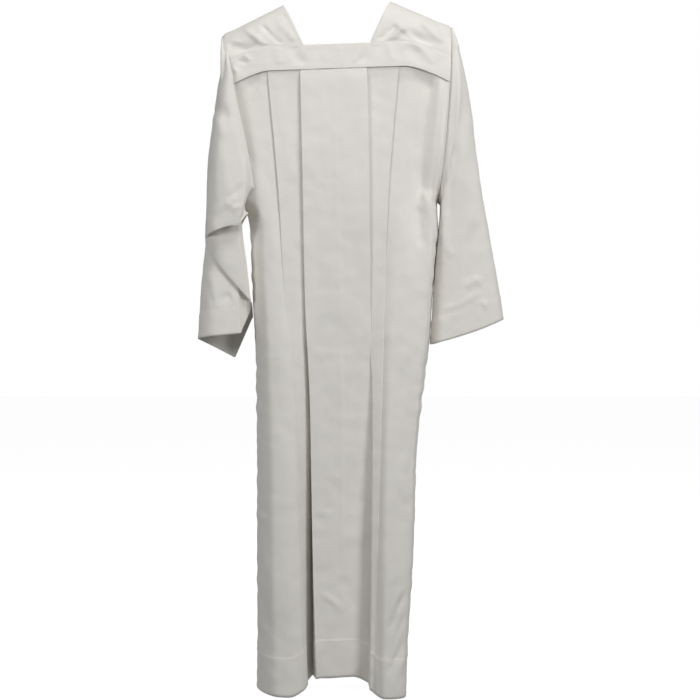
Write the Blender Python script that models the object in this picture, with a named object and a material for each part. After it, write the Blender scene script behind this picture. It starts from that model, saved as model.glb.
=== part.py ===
"""A square-necked, pleated alb, hanging hollow from its shoulders.

Metres, +Z up, the front faces -Y and the wearer's left sleeve is at +X. The origin is midway
between the two shoulder lines, where whatever carries the alb holds it up.
Every cut and sewn piece is one closed solid: a cloth wall built from rows of points.
"""

import math

import bmesh
import bpy
import numpy as np

# ---------------------------------------------------------------- sizes
CLOTH = 0.0012             # wall of every piece
SEAM_GAP = 0.0003          # between sewn neighbours

NECK_HALF_WIDTH = 0.112    # at the shoulder line
NECK_POINT_Z = 0.030
SHOULDER_HALF_WIDTH = 0.234
SHOULDER_POINT_Z = -0.028
CORNER_HALF_WIDTH = 0.067  # square neck, at the band

BAND_HEIGHT = 0.048
BAND_BOTTOM_Z = -0.1145
BAND_DROOP = 0.034         # how far the band's ends hang below its middle
BAND_DROOP_START = 0.140   # distance from the middle at which the droop begins
BAND_DROOP_POWER = 1.4     # the droop grows with this power of the distance
BAND_DEPTH = 0.058         # how far the band stands in front of the shoulder line
BAND_LEAN = 0.006          # and how much less at its upper edge
BAND_TURN_POWER = 5        # the higher, the nearer to its ends the band turns back
SHOULDER_ROUND = 1.25      # how much the shoulder piece rounds over its top

UNDERARM_Z = -0.382
UNDERARM_HALF_WIDTH = 0.208
ARMHOLE_DEPTH = 0.052      # half the depth of the armhole, front to back
ARMHOLE_SQUARENESS = 3     # 2 is an ellipse, more is squarer
TILT = 0.035               # the left shoulder hangs higher, by this slope
TILT_ENDS_Z = -0.380       # and the slope has died out here
UNDERARM_BLEND = 0.120     # height over which the folds change from the armhole's to the skirt's
UNDERARM_HELD = 0.040      # how far below the underarm the cloth still follows the armhole
HELD_SHARE = 0.15          # of its own depth, that the held cloth has right at the edge
HELD_GAIN = 2              # and how fast it gains the rest on the way in

# Heights at which the fold lines are given, from the band's lower edge to the hem.
LEVELS_Z = (-0.1148, -0.382, -0.580, -0.800, -1.080, -1.355)
HEM_SAG = 0.029            # the two side lobes hang this much lower than the middle
HEM_LOBE_X = 0.095         # distance of a lobe's middle from the alb's middle
HEM_MIDDLE_X = 0.030       # within this distance of its middle the hem is level

# Side seams below the armhole: height, right side's x, left side's x.
SIDE_SEAMS = (
    (-0.382, -0.208, 0.208),
    (-0.410, -0.186, 0.208),
    (-0.440, -0.180, 0.2085),
    (-0.500, -0.178, 0.203),
    (-0.580, -0.175, 0.196),
    (-0.686, -0.169, 0.188),
    (-0.800, -0.167, 0.174),
    (-0.900, -0.166, 0.164),
    (-1.080, -0.166, 0.158),
    (-1.270, -0.165, 0.145),
    (-1.355, -0.165, 0.141),
)

# The four front pleats, a row for each level, in millimetres:
# x of the fold's edge, its y, how far the cloth is lapped under it, how deep the next layer lies.
FRONT_PLEATS = {
    "right outer": (
        (-141, -53, 12, 4),
        (-117, -60, 10, 4),
        (-106, -62, 9, 4),
        (-88, -64, 8, 5),
        (-77, -62, 7, 6),
        (-64, -58, 5, 9),
    ),
    "right inner": (
        (-74, -60, 14, 7),
        (-68, -67, 12, 8),
        (-64, -66, 11, 12),
        (-54, -60, 6, 32),
        (-49, -54, -1, 44),
        (-41, -50, -9, 48),
    ),
    "left inner": (
        (61, -60, 14, 7),
        (66, -67, 10, 8),
        (68, -62, 6, 6),
        (72, -52, -1, -10),
        (70, -38, -2, -31),
        (66, -30, -2, -40),
    ),
    "left outer": (
        (126, -53, 12, 6),
        (104, -60, 10, 6),
        (97, -64, 9, 6),
        (91, -68, 6, 6),
        (83, -74, 3, 5),
        (75, -72, -8, -10),
    ),
}
# The back hangs the same way, a little more evenly.
BACK_PLEATS = {
    "right outer": (
        (-130, -53, 12, 5),
        (-112, -58, 10, 5),
        (-100, -60, 9, 5),
        (-90, -64, 7, 5),
        (-82, -66, 6, 6),
        (-74, -60, 5, 8),
    ),
    "right inner": (
        (-68, -59, 14, 6),
        (-66, -64, 12, 7),
        (-64, -63, 10, 10),
        (-60, -58, 9, 20),
        (-56, -52, 8, 30),
        (-50, -48, 6, 36),
    ),
    "left inner": (
        (67, -59, 14, 6),
        (64, -64, 12, 7),
        (61, -63, 10, 10),
        (57, -58, 9, 20),
        (52, -52, 8, 30),
        (46, -46, 6, 36),
    ),
    "left outer": (
        (132, -53, 12, 5),
        (110, -58, 10, 5),
        (98, -60, 9, 5),
        (90, -64, 7, 5),
        (84, -66, 6, 6),
        (79, -60, 5, 8),
    ),
}
# The cloth between a side seam and its outer pleat, a row for each soft fold line:
# share of the way in at the band and at the hem, then its y in millimetres at each level.
RIGHT_FRONT_FOLDS = (
    (0.05, 0.03, (-50, -24, -16, -16, -18, -20)),
    (0.20, 0.30, (-50, -48, -54, -58, -62, -66)),
    (0.48, 0.42, (-49, -55, -62, -66, -72, -76)),
    (0.76, 0.70, (-49, -56, -64, -70, -76, -82)),
    (0.90, 0.94, (-49, -56, -61, -67, -72, -76)),
)
LEFT_FRONT_FOLDS = (
    (0.05, 0.02, (-50, -30, -38, -44, -48, -50)),
    (0.20, 0.10, (-54, -58, -62, -70, -76, -80)),
    (0.50, 0.45, (-44, -50, -68, -76, -84, -90)),
    (0.78, 0.76, (-49, -58, -68, -77, -86, -92)),
)
RIGHT_BACK_FOLDS = (
    (0.05, 0.02, (-50, -30, -34, -36, -38, -40)),
    (0.20, 0.15, (-50, -52, -56, -60, -66, -70)),
    (0.48, 0.44, (-47, -56, -64, -70, -78, -84)),
    (0.76, 0.72, (-49, -57, -64, -70, -76, -80)),
    (0.90, 0.93, (-49, -56, -61, -67, -71, -74)),
)
# The left side bellies out behind the sleeve.
LEFT_BACK_FOLDS = (
    (0.05, -0.05, (-50, -30, -34, -36, -38, -40)),
    (0.20, 0.12, (-50, -52, -56, -60, -66, -70)),
    (0.48, 0.44, (-47, -56, -64, -70, -78, -84)),
    (0.76, 0.72, (-49, -57, -64, -70, -76, -80)),
    (0.90, 0.93, (-49, -56, -61, -67, -71, -74)),
)
PANEL_ROWS_Z = (
    -0.1148, -0.150, -0.190, -0.230, -0.270, -0.305, -0.335, -0.358, -0.374, -0.3815,
    -0.400, -0.440, -0.510, -0.590, -0.700, -0.820, -0.950, -1.080, -1.190, -1.285, -1.355,
)

# Sleeves, a row for each ring after the armhole, in millimetres. Each ring is told by its
# outer, front, inner and back corner: x and z of each, then its y.
# The left sleeve hangs smoothly.
LEFT_SLEEVE = (
    # outer, front, inner, back
    ((247, -62, 0), (243, -215, -58), (214, -398, 0), (243, -215, 56)),
    ((263, -130, 0), (246, -252, -54), (213, -418, 0), (246, -252, 52)),
    ((277, -205, 0), (251, -300, -50), (211, -440, 0), (251, -300, 50)),
    ((287, -285, 0), (255, -350, -47), (208, -468, 0), (255, -350, 47)),
    ((300, -375, 0), (261, -415, -45), (205, -505, 0), (261, -415, 45)),
    ((317, -470, 0), (268, -490, -43), (202, -550, 0), (268, -490, 43)),
    ((332, -555, 0), (274, -560, -43), (198, -610, 0), (274, -560, 43)),
    ((343, -624, 0), (277, -652, -44), (194, -676, 0), (277, -652, 44)),
)
# The right sleeve's front is pulled in over the armhole and folds over itself at the elbow.
RIGHT_SLEEVE = (
    ((-240, -56, 0), (-203, -225, -83), (-190, -392, -62), (-252, -215, 56)),
    ((-255, -155, 0), (-212, -265, -88), (-186, -404, -66), (-248, -262, 54)),
    ((-268, -280, 0), (-224, -335, -88), (-185, -412, -66), (-244, -330, 52)),
    ((-275, -430, 0), (-226, -440, -80), (-186, -414, -62), (-240, -400, 50)),
    ((-276, -442, 0), (-228, -418, -58), (-192, -410, -44), (-239, -425, 49)),
    ((-277, -470, 0), (-228, -462, -50), (-194, -470, -30), (-236, -480, 48)),
    ((-282, -550, 0), (-230, -555, -48), (-185, -555, -30), (-232, -560, 47)),
    ((-287, -610, 0), (-215, -612, -50), (-180, -585, -46), (-236, -640, 47)),
    ((-291, -663, 0), (-199, -655, -52), (-178, -602, -48), (-234, -692, 47)),
)
RING_ANGLES = [2 * math.pi * k / 26 for k in range(26)]  # from the outer corner to the front
LIFT = 0.005               # how far the sleeve stands out where its seam turns over
SLEEVE_FULLNESS = 0.4      # the lower, the squarer a ring is in its height and its depth
SLEEVE_FRONT_CORNER = 2.5  # the higher, the sharper the corner at the sleeve's front

SHOULDER_CLIMBS = (0, 0.15, 0.35, 0.6, 0.8, 0.9, 0.96)  # from the band to the shoulder line


# ---------------------------------------------------------------- curves
def eased(x):
    x = min(max(x, 0.0), 1.0)
    return x * x * (3 - 2 * x)


def along(places, values, place):
    """Smooth curve through (places, values) that never overshoots; places may fall or rise."""
    places = np.array(places, float)
    values = np.array(values, float)
    if places[0] > places[-1]:
        places, values = places[::-1], values[::-1]
    place = min(max(place, places[0]), places[-1])
    i = min(max(np.searchsorted(places, place) - 1, 0), len(places) - 2)
    step = np.diff(places)
    slope = np.diff(values) / step

    def tangent(k):
        if k == 0 or k == len(places) - 1:
            return slope[min(k, len(slope) - 1)]
        if slope[k - 1] * slope[k] <= 0:
            return 0.0
        return 2 * slope[k - 1] * slope[k] / (slope[k - 1] + slope[k])

    t = (place - places[i]) / step[i]
    return float(
        values[i] * (1 + 2 * t) * (1 - t) ** 2
        + tangent(i) * step[i] * t * (1 - t) ** 2
        + values[i + 1] * t * t * (3 - 2 * t)
        - tangent(i + 1) * step[i] * t * t * (1 - t)
    )


def hang(point):
    """The slight slope of the whole top, which dies out towards the underarms."""
    x, y, z = point
    fade = eased((z - TILT_ENDS_Z) / (BAND_BOTTOM_Z - TILT_ENDS_Z))
    return (x, y, z + TILT * x * fade)


def armhole(z):
    """Half width and half depth of the armhole at a height."""
    middle = (SHOULDER_POINT_Z + UNDERARM_Z) / 2
    reach = (SHOULDER_POINT_Z - UNDERARM_Z) / 2
    s = min(abs((z - middle) / reach), 1.0)
    down = (SHOULDER_POINT_Z - z) / (2 * reach)
    half_width = SHOULDER_HALF_WIDTH - (SHOULDER_HALF_WIDTH - UNDERARM_HALF_WIDTH) * down**2
    return half_width, ARMHOLE_DEPTH * math.sqrt(1 - s**ARMHOLE_SQUARENESS)


def band_bottom(x):
    """Height of the band's lower edge, whose ends droop."""
    out = max(abs(x) - BAND_DROOP_START, 0) / (BAND_END_X - BAND_DROOP_START)
    return BAND_BOTTOM_Z - BAND_DROOP * out**BAND_DROOP_POWER


def band_point(share, up):
    """A point of the band; share runs from its middle, 0, to the armhole, 1 or -1, and up
    from its lower edge, 0, to its upper edge, 1. y is how far it stands out."""
    x = BAND_END_X * share
    z = band_bottom(x) + BAND_HEIGHT * up
    end_x, end_depth = armhole(band_bottom(BAND_END_X) + BAND_HEIGHT * up)
    middle = 1 - abs(share) ** BAND_TURN_POWER
    depth = end_depth + (BAND_DEPTH - BAND_LEAN * up - end_depth) * middle
    return x * end_x / BAND_END_X, depth, z + SEAM_GAP


BAND_END_X = armhole(BAND_BOTTOM_Z - BAND_DROOP)[0]
# Columns of half the band, as shares of the way from its middle to the armhole.
CORNER_COLUMN = 2          # this one is at the square neck's corner
BAND_HALF_SHARES = (
    0.1, 0.2, CORNER_HALF_WIDTH / BAND_END_X, 0.4, 0.5, 0.6, 0.68, 0.76, 0.83, 0.89, 0.95, 1,
)


# ---------------------------------------------------------------- cloth walls
def clear_scene():
    for obj in list(bpy.data.objects):
        bpy.data.objects.remove(obj, do_unlink=True)


def cloth_material(name, colour):
    material = bpy.data.materials.new(name)
    material.use_nodes = True
    shader = material.node_tree.nodes["Principled BSDF"]
    shader.inputs["Base Color"].default_value = (*colour, 1)
    shader.inputs["Roughness"].default_value = 0.85
    shader.inputs["Metallic"].default_value = 0.0
    return material


def wall(name, rows, normals, colour, ring=False):
    """One closed solid: a cloth wall around rows of points, with an edge all round.

    ring closes each row on itself, which makes a tube that is open at both ends."""
    rows = np.array([[hang(p) for p in row] for row in rows])
    normals = np.array(normals) * (CLOTH / 2)
    count, width = rows.shape[:2]
    mesh = bmesh.new()
    faces_of_wall = [
        [[mesh.verts.new(p) for p in row] for row in rows + side * normals] for side in (1, -1)
    ]
    columns = range(width if ring else width - 1)
    for face in faces_of_wall:
        for j in range(count - 1):
            for i in columns:
                k = (i + 1) % width
                mesh.faces.new((face[j][i], face[j][k], face[j + 1][k]))
                mesh.faces.new((face[j][i], face[j + 1][k], face[j + 1][i]))
    outer, inner = faces_of_wall
    for j in (0, count - 1):
        for i in columns:
            k = (i + 1) % width
            mesh.faces.new((outer[j][i], outer[j][k], inner[j][k], inner[j][i]))
    if not ring:
        for i in (0, width - 1):
            for j in range(count - 1):
                mesh.faces.new((outer[j][i], outer[j + 1][i], inner[j + 1][i], inner[j][i]))
    bmesh.ops.recalc_face_normals(mesh, faces=mesh.faces)
    data = bpy.data.meshes.new(name)
    mesh.to_mesh(data)
    mesh.free()
    data.shade_smooth()
    data.set_sharp_from_angle(angle=math.radians(50))
    data.materials.append(cloth_material(name, colour))
    obj = bpy.data.objects.new(name, data)
    bpy.context.scene.collection.objects.link(obj)
    return obj


def level_normals(row):
    """Offset directions in the horizontal plane, lengthened at corners so the wall keeps
    its thickness around each fold."""
    flat = np.array(row)[:, :2]
    runs = np.diff(flat, axis=0)
    runs /= np.linalg.norm(runs, axis=1)[:, None]
    across = np.stack([runs[:, 1], -runs[:, 0]], axis=1)
    before = np.vstack([across[:1], across])
    after = np.vstack([across, across[-1:]])
    middle = before + after
    middle /= np.linalg.norm(middle, axis=1)[:, None]
    lengthen = 1 / np.maximum((middle * after).sum(axis=1), 0.6)
    return np.column_stack([middle * lengthen[:, None], np.zeros(len(flat))])


def surface_normals(rows, ring=False):
    """Unit normals of a grid of points."""
    points = np.array(rows)
    down = np.gradient(points, axis=0)
    if ring:
        round_it = (np.roll(points, -1, axis=1) - np.roll(points, 1, axis=1)) / 2
    else:
        round_it = np.gradient(points, axis=1)
    normals = np.cross(down, round_it)
    return normals / np.linalg.norm(normals, axis=2)[:, :, None]


# ---------------------------------------------------------------- front and back
def pleat_points(rows, z, opens_left):
    """The four corners of a lapped fold: its edge, the turn behind it, the turn of the
    cloth under it and the next layer. opens_left lists them from the next layer up."""
    x, y, lap, drop = (along(LEVELS_Z, column, z) / 1000 for column in zip(*rows))
    side = 1 if opens_left else -1
    if lap >= 0:
        turns = ((0, 0), (0, drop / 3), (lap, drop * 2 / 3), (lap, drop))
    else:
        turns = tuple((lap * part / 3, drop * part / 3) for part in range(4))
    points = [(x + side * dx, y + dy) for dx, dy in turns]
    return points[::-1] if opens_left else points


def between(start, end, shares):
    return [tuple(a + (b - a) * share for a, b in zip(start, end)) for share in shares]


def from_band(z):
    """1 at the band, 0 at the underarm."""
    return eased((z - UNDERARM_Z) / (PANEL_ROWS_Z[0] - UNDERARM_Z))


def side_edge(z, side):
    """The panel's outer edge: on the armhole above the underarm, on the side seam below."""
    if z > UNDERARM_Z:
        half_width, depth = armhole(z - BAND_DROOP * from_band(z))
        return (side * half_width, -max(depth, SEAM_GAP / 2))
    heights = [row[0] for row in SIDE_SEAMS]
    return (along(heights, [row[1 if side < 0 else 2] for row in SIDE_SEAMS], z), -SEAM_GAP / 2)


def side_section(folds, z, edge, pleat):
    """Soft fold lines from the side edge to the outer pleat."""
    below = eased((UNDERARM_Z - z) / UNDERARM_BLEND + 0.5)
    points = [edge]
    for share_above, share_below, depths in folds:
        share = share_above + (share_below - share_above) * below
        x = edge[0] + (pleat[0] - edge[0]) * share
        y = along(LEVELS_Z, depths, z) / 1000
        if z > UNDERARM_Z - UNDERARM_HELD:
            own = HELD_SHARE + HELD_GAIN * share + (1 - HELD_SHARE) * below
            y = edge[1] + (y - edge[1]) * min(1, own)
        points.append((x, y))
    return points


def panel_row(z, pleats, right_folds, left_folds):
    """One level line of a panel, from the right side edge to the left one."""
    right_outer = pleat_points(pleats["right outer"], z, opens_left=True)
    right_inner = pleat_points(pleats["right inner"], z, opens_left=True)
    left_inner = pleat_points(pleats["left inner"], z, opens_left=False)
    left_outer = pleat_points(pleats["left outer"], z, opens_left=False)
    row = side_section(right_folds, z, side_edge(z, -1), right_outer[0])
    row += right_outer
    row += between(right_outer[-1], right_inner[0], (0.3, 0.6))
    row += right_inner
    row += between(right_inner[-1], left_inner[0], (0.2, 0.5, 0.8))
    row += left_inner
    row += between(left_inner[-1], left_outer[0], (0.4, 0.7))
    row += left_outer
    row += side_section(left_folds, z, side_edge(z, 1), left_outer[-1])[::-1]
    return row


def panel_height(x, z, edge_x):
    """Rows start along the band's edge and sag a little at the hem's two lobes."""
    drop = (band_bottom(x * BAND_END_X / edge_x) - BAND_BOTTOM_Z) * from_band(z)
    to_hem = eased((LEVELS_Z[3] - z) / (LEVELS_Z[3] - LEVELS_Z[5]))
    out = (abs(x) - HEM_MIDDLE_X) / (HEM_LOBE_X - HEM_MIDDLE_X)
    return z + drop - HEM_SAG * to_hem * eased(out)


def panel(name, pleats, right_folds, left_folds, facing, colour):
    """A pleated panel; facing is 1 for the front, and -1 for the back."""
    rows = []
    normals = []
    for z in PANEL_ROWS_Z:
        row = panel_row(z, pleats, right_folds, left_folds)
        edge_x = row[-1][0]
        rows.append([(x, y * facing, panel_height(x, z, edge_x)) for x, y in row])
        normals.append(level_normals(rows[-1]))
    return wall(name, rows, normals, colour)


# ---------------------------------------------------------------- bands and shoulders
def band(name, facing, colour):
    """The straight band over the pleats, from armhole to armhole."""
    shares = [-share for share in BAND_HALF_SHARES[::-1]] + [0, *BAND_HALF_SHARES]
    rows = []
    for up in (0, 0.5, 1):
        points = [band_point(share, up) for share in shares]
        rows.append([(x, -y * facing, z) for x, y, z in points])
    return wall(name, rows, [level_normals(row) for row in rows], colour)


def shoulder(name, side, colour):
    """The piece over one shoulder, from the front band to the back band, in one."""
    corner = BAND_HALF_SHARES[CORNER_COLUMN]
    rows = []
    for band_share in BAND_HALF_SHARES[CORNER_COLUMN:]:
        share = (band_share - corner) / (1 - corner)
        foot = band_point(band_share, 1)
        top_x = NECK_HALF_WIDTH + (SHOULDER_HALF_WIDTH - NECK_HALF_WIDTH) * share
        top_z = NECK_POINT_Z + (SHOULDER_POINT_Z - NECK_POINT_Z) * share
        front = []
        for climb in SHOULDER_CLIMBS:
            x = foot[0] + (top_x - foot[0]) * climb
            y = foot[1] * (1 - climb)
            z = foot[2] + SEAM_GAP + (top_z - foot[2]) * (1 - (1 - climb) ** SHOULDER_ROUND)
            if share == 1:
                x, y = armhole(z)
            front.append((side * x, -y, z))
        front.append((side * top_x, 0, top_z + SEAM_GAP))
        back = [(x, -y, z) for x, y, z in front[-2::-1]]
        rows.append(front + back)
    normals = surface_normals(rows)
    normals[-1, :, 0] = 0
    normals[-1] /= np.linalg.norm(normals[-1], axis=1)[:, None]
    normals[:, 0, 2] = 0
    normals[:, -1, 2] = 0
    return wall(name, rows, normals, colour)


# ---------------------------------------------------------------- sleeves
def armhole_ring(side):
    """The sleeve's first ring, just outside the edges that it is sewn to."""
    middle = (SHOULDER_POINT_Z + UNDERARM_Z) / 2
    reach = (SHOULDER_POINT_Z - UNDERARM_Z) / 2
    ring = []
    for angle in RING_ANGLES:
        z = middle + reach * math.cos(angle)
        half_width, depth = armhole(z)
        gap = 2 * SEAM_GAP + CLOTH * max(0, -math.cos(angle)) ** 3
        ring.append((side * (half_width + gap), -math.copysign(depth, math.sin(angle)), z))
    return ring


def lifted_ring(ring, side):
    """The same ring a little further out and forward, where the seam turns over."""
    lifted = []
    for angle, (x, y, z) in zip(RING_ANGLES, ring):
        low = max(0, -math.cos(angle))
        forward = max(0, math.sin(angle)) ** 0.5
        out = LIFT * (0.5 + 0.5 * low)
        lifted.append((x + side * out, y - LIFT * forward, z - LIFT * low))
    return lifted


def cornered_ring(outer, front, inner, back):
    """A smooth closed ring through its four corners."""
    outer, front, inner, back = (
        np.array((x, y, z)) / 1000 for x, z, y in (outer, front, inner, back)
    )
    middle = (outer + inner) / 2
    half = (outer - inner) / 2
    ring = []
    for angle in RING_ANGLES:
        bulge = front - middle if math.sin(angle) > 0 else back - middle
        out = abs(math.sin(angle))
        corner = SLEEVE_FRONT_CORNER if math.sin(angle) > 0 else SLEEVE_FULLNESS
        fullness = np.array((out**corner, out**SLEEVE_FULLNESS, out))
        ring.append(tuple(middle + half * math.cos(angle) + bulge * fullness))
    return ring


def sleeve(name, side, table, colour):
    rings = [armhole_ring(side)]
    rings.append(lifted_ring(rings[0], side))
    rings += [cornered_ring(*row) for row in table]
    normals = surface_normals(rings, ring=True)
    normals[0, :, 0] = 0
    normals[0] /= np.linalg.norm(normals[0], axis=1)[:, None]
    return wall(name, rings, normals, colour, ring=True)


# ---------------------------------------------------------------- the alb
def main():
    clear_scene()
    white = (0.78, 0.77, 0.74)
    panel("front_panel", FRONT_PLEATS, RIGHT_FRONT_FOLDS, LEFT_FRONT_FOLDS, 1, white)
    panel("back_panel", BACK_PLEATS, RIGHT_BACK_FOLDS, LEFT_BACK_FOLDS, -1, white)
    band("front_band", 1, white)
    band("back_band", -1, white)
    shoulder("right_shoulder", -1, white)
    shoulder("left_shoulder", 1, white)
    sleeve("right_sleeve", -1, RIGHT_SLEEVE, white)
    sleeve("left_sleeve", 1, LEFT_SLEEVE, white)


main()
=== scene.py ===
"""The looks of a square-necked, pleated alb: fine cloth shells in place of the frame's plain
pieces, with their pleats, creases, hems and stitching, and the camera, light and floor.

Metres, +Z up, the front faces -Y and the wearer's left sleeve is at +X. The origin is midway
between the shoulder lines. Each shell repeats its frame piece's form at a finer pitch."""

import math

import bpy
import numpy as np
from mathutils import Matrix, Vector, noise


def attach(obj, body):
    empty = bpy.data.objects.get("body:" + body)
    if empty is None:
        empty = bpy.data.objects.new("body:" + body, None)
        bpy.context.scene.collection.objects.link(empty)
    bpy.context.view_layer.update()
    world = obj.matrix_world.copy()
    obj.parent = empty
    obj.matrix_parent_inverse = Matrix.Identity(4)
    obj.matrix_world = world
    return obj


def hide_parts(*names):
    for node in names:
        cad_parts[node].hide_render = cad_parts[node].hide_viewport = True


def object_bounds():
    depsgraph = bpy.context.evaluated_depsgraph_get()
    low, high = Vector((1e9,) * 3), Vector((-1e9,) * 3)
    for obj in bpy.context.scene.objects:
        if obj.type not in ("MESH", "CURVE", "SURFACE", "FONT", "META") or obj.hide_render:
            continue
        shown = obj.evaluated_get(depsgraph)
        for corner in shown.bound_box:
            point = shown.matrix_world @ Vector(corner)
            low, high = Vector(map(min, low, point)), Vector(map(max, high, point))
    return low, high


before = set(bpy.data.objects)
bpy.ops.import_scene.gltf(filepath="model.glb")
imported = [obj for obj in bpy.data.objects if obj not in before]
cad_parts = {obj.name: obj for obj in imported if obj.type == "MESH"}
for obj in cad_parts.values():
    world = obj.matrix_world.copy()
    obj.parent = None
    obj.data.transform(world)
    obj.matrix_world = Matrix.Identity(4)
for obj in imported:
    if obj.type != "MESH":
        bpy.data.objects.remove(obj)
cad_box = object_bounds()

# ---------------------------------------------------------------- sizes, as in the frame
CLOTH = 0.0008             # thickness of one layer
SEAM_GAP = 0.0003

NECK_HALF_WIDTH = 0.112
NECK_POINT_Z = 0.030
SHOULDER_HALF_WIDTH = 0.234
SHOULDER_POINT_Z = -0.028
CORNER_HALF_WIDTH = 0.067

BAND_HEIGHT = 0.048
BAND_BOTTOM_Z = -0.1145
BAND_DROOP = 0.034
BAND_DROOP_START = 0.140
BAND_DROOP_POWER = 1.4
BAND_DEPTH = 0.058
BAND_LEAN = 0.006
BAND_TURN_POWER = 5        # how sharply it turns back at its ends

UNDERARM_Z = -0.382
UNDERARM_HALF_WIDTH = 0.208
ARMHOLE_DEPTH = 0.052
ARMHOLE_SQUARENESS = 3
TILT = 0.035
TILT_ENDS_Z = -0.380
UNDERARM_BLEND = 0.120
UNDERARM_HELD = 0.040
HELD_SHARE = 0.15
HELD_GAIN = 2

LEVELS_Z = (-0.1148, -0.382, -0.580, -0.800, -1.080, -1.355)
HEM_SAG = 0.029
HEM_LOBE_X = 0.095
HEM_MIDDLE_X = 0.030

HEM_DEPTH = 0.078          # turned up and stitched
CUFF_DEPTH = 0.050
HEM_STEP = 0.0010          # how far the doubled cloth of a hem stands out

# Side seams below the armhole: height, right side's x, left side's x.
SIDE_SEAMS = (
    (-0.382, -0.208, 0.208),
    (-0.410, -0.186, 0.208),
    (-0.440, -0.180, 0.2085),
    (-0.500, -0.178, 0.203),
    (-0.580, -0.175, 0.196),
    (-0.686, -0.169, 0.188),
    (-0.800, -0.167, 0.174),
    (-0.900, -0.166, 0.164),
    (-1.080, -0.166, 0.158),
    (-1.270, -0.165, 0.145),
    (-1.355, -0.165, 0.141),
)

# The four front pleats, a row for each level, in millimetres:
# x of the fold's edge, its y, how far the cloth is lapped under it, how deep the next layer lies.
FRONT_PLEATS = {
    "right outer": (
        (-141, -53, 12, 4),
        (-117, -60, 10, 4),
        (-106, -62, 9, 4),
        (-88, -64, 8, 5),
        (-77, -62, 7, 6),
        (-64, -58, 5, 9),
    ),
    "right inner": (
        (-74, -60, 14, 7),
        (-68, -67, 12, 8),
        (-64, -66, 11, 12),
        (-54, -60, 6, 32),
        (-49, -54, -1, 44),
        (-41, -50, -9, 48),
    ),
    "left inner": (
        (61, -60, 14, 7),
        (66, -67, 10, 8),
        (68, -62, 6, 6),
        (72, -52, -1, -10),
        (70, -38, -2, -31),
        (66, -30, -2, -40),
    ),
    "left outer": (
        (126, -53, 12, 6),
        (104, -60, 10, 6),
        (97, -64, 9, 6),
        (91, -68, 6, 6),
        (83, -74, 3, 5),
        (75, -72, -8, -10),
    ),
}
# The back hangs the same way, a little more evenly.
BACK_PLEATS = {
    "right outer": (
        (-130, -53, 12, 5),
        (-112, -58, 10, 5),
        (-100, -60, 9, 5),
        (-90, -64, 7, 5),
        (-82, -66, 6, 6),
        (-74, -60, 5, 8),
    ),
    "right inner": (
        (-68, -59, 14, 6),
        (-66, -64, 12, 7),
        (-64, -63, 10, 10),
        (-60, -58, 9, 20),
        (-56, -52, 8, 30),
        (-50, -48, 6, 36),
    ),
    "left inner": (
        (67, -59, 14, 6),
        (64, -64, 12, 7),
        (61, -63, 10, 10),
        (57, -58, 9, 20),
        (52, -52, 8, 30),
        (46, -46, 6, 36),
    ),
    "left outer": (
        (132, -53, 12, 5),
        (110, -58, 10, 5),
        (98, -60, 9, 5),
        (90, -64, 7, 5),
        (84, -66, 6, 6),
        (79, -60, 5, 8),
    ),
}
# The cloth between a side seam and its outer pleat, a row for each soft fold line: its share of
# the way in above and below the underarm, then its y in millimetres at each level.
RIGHT_FRONT_FOLDS = (
    (0.05, 0.03, (-50, -24, -16, -16, -18, -20)),
    (0.20, 0.30, (-50, -48, -54, -58, -62, -66)),
    (0.48, 0.42, (-49, -55, -62, -66, -72, -76)),
    (0.76, 0.70, (-49, -56, -64, -70, -76, -82)),
    (0.90, 0.94, (-49, -56, -61, -67, -72, -76)),
)
LEFT_FRONT_FOLDS = (
    (0.05, 0.02, (-50, -30, -38, -44, -48, -50)),
    (0.20, 0.10, (-54, -58, -62, -70, -76, -80)),
    (0.50, 0.45, (-44, -50, -68, -76, -84, -90)),
    (0.78, 0.76, (-49, -58, -68, -77, -86, -92)),
)
RIGHT_BACK_FOLDS = (
    (0.05, 0.02, (-50, -30, -34, -36, -38, -40)),
    (0.20, 0.15, (-50, -52, -56, -60, -66, -70)),
    (0.48, 0.44, (-47, -56, -64, -70, -78, -84)),
    (0.76, 0.72, (-49, -57, -64, -70, -76, -80)),
    (0.90, 0.93, (-49, -56, -61, -67, -71, -74)),
)
# The left side bellies out behind the sleeve.
LEFT_BACK_FOLDS = (
    (0.05, -0.05, (-50, -30, -34, -36, -38, -40)),
    (0.20, 0.12, (-50, -52, -56, -60, -66, -70)),
    *RIGHT_BACK_FOLDS[2:],
)

# Left sleeve, a row for each ring, in millimetres: x, z and y of its four corners.
LEFT_SLEEVE = (
    # outer, front, inner, back
    ((247, -62, 0), (243, -215, -58), (214, -398, 0), (243, -215, 56)),
    ((263, -130, 0), (246, -252, -54), (213, -418, 0), (246, -252, 52)),
    ((277, -205, 0), (251, -300, -50), (211, -440, 0), (251, -300, 50)),
    ((287, -285, 0), (255, -350, -47), (208, -468, 0), (255, -350, 47)),
    ((300, -375, 0), (261, -415, -45), (205, -505, 0), (261, -415, 45)),
    ((317, -470, 0), (268, -490, -43), (202, -550, 0), (268, -490, 43)),
    ((332, -555, 0), (274, -560, -43), (198, -610, 0), (274, -560, 43)),
    ((343, -624, 0), (277, -652, -44), (194, -676, 0), (277, -652, 44)),
)
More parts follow.
